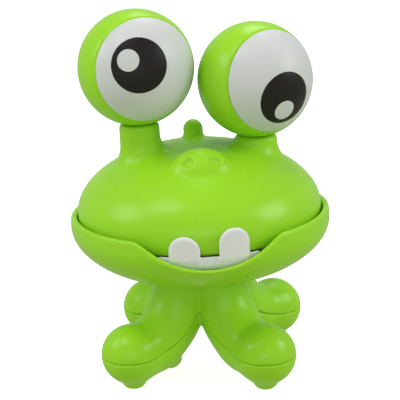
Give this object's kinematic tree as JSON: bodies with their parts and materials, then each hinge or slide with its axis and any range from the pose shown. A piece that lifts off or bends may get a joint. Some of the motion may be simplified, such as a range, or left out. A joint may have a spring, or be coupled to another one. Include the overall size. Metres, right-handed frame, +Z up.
{
  "type": "toy frog figure",
  "caption": "Frog figure with a dome head on a hinged jaw, stalked eyes with turning caps, white teeth and a base of curved legs with round feet.",
  "frame": {"origin": "on the neck axis at floor level, under the centre of the four legs", "axes": "+Z up along the neck axis, -Y the way the leg base faces; the head is stored turned 10.5 degrees about +Z on the base"},
  "size_m": [0.0768, 0.0765, 0.1089],
  "materials": {
    "green_plastic": "satin moulded plastic",
    "white_plastic": "satin moulded plastic",
    "black_plastic": "smooth",
    "plated_steel": "zinc plated"
  },
  "bodies": {
    "base": {"leg_top_shell": "green_plastic", "leg_bottom_shell": "green_plastic", "leg_screws": "plated_steel", "neck_washer": "plated_steel", "neck_screw": "plated_steel"},
    "jaw": {"lower_jaw": "green_plastic", "teeth_tray": "white_plastic", "tray_screws": "plated_steel", "hinge_pin": "plated_steel"},
    "head": {"head_shell": "green_plastic", "palate_plate": "green_plastic", "palate_screws": "plated_steel", "swivel_washers": "plated_steel", "swivel_screws": "plated_steel"},
    "high_eye": {"high_eye_shell": "green_plastic", "high_bearing_plate": "white_plastic"},
    "low_eye": {"low_eye_shell": "green_plastic", "low_bearing_plate": "white_plastic"},
    "high_cap": {"high_eye_cap": "white_plastic", "high_pupil": "black_plastic", "high_cap_washer": "plated_steel", "high_cap_screw": "plated_steel"},
    "low_cap": {"low_eye_cap": "white_plastic", "low_pupil": "black_plastic", "low_cap_washer": "plated_steel", "low_cap_screw": "plated_steel"}
  },
  "joints": [
    {"name": "neck_swivel", "type": "hinge", "parent": "base", "child": "jaw", "pos_m": [0, 0, 0.03], "axis": [0, 0, 1], "continuous": true},
    {"name": "mouth_hinge", "type": "hinge", "parent": "jaw", "child": "head", "pos_m": [-0.00627, 0.03382, 0.0495], "axis": [-0.9833, -0.1822, 0], "range_deg": [0, 50]},
    {"name": "high_eye_swivel", "type": "hinge", "parent": "head", "child": "high_eye", "pos_m": [-0.01627, -0.00302, 0.0759], "axis": [0, 0, 1], "continuous": true},
    {"name": "low_eye_swivel", "type": "hinge", "parent": "head", "child": "low_eye", "pos_m": [0.01745, 0.00324, 0.0705], "axis": [0, 0, 1], "continuous": true},
    {"name": "high_cap_spin", "type": "hinge", "parent": "high_eye", "child": "high_cap", "pos_m": [-0.01627, -0.00302, 0.0921], "axis": [0.4637, -0.8832, 0.0698], "continuous": true},
    {"name": "low_cap_spin", "type": "hinge", "parent": "low_eye", "child": "low_cap", "pos_m": [0.01745, 0.00324, 0.0867], "axis": [0.6128, -0.7872, 0.0698], "continuous": true}
  ]
}
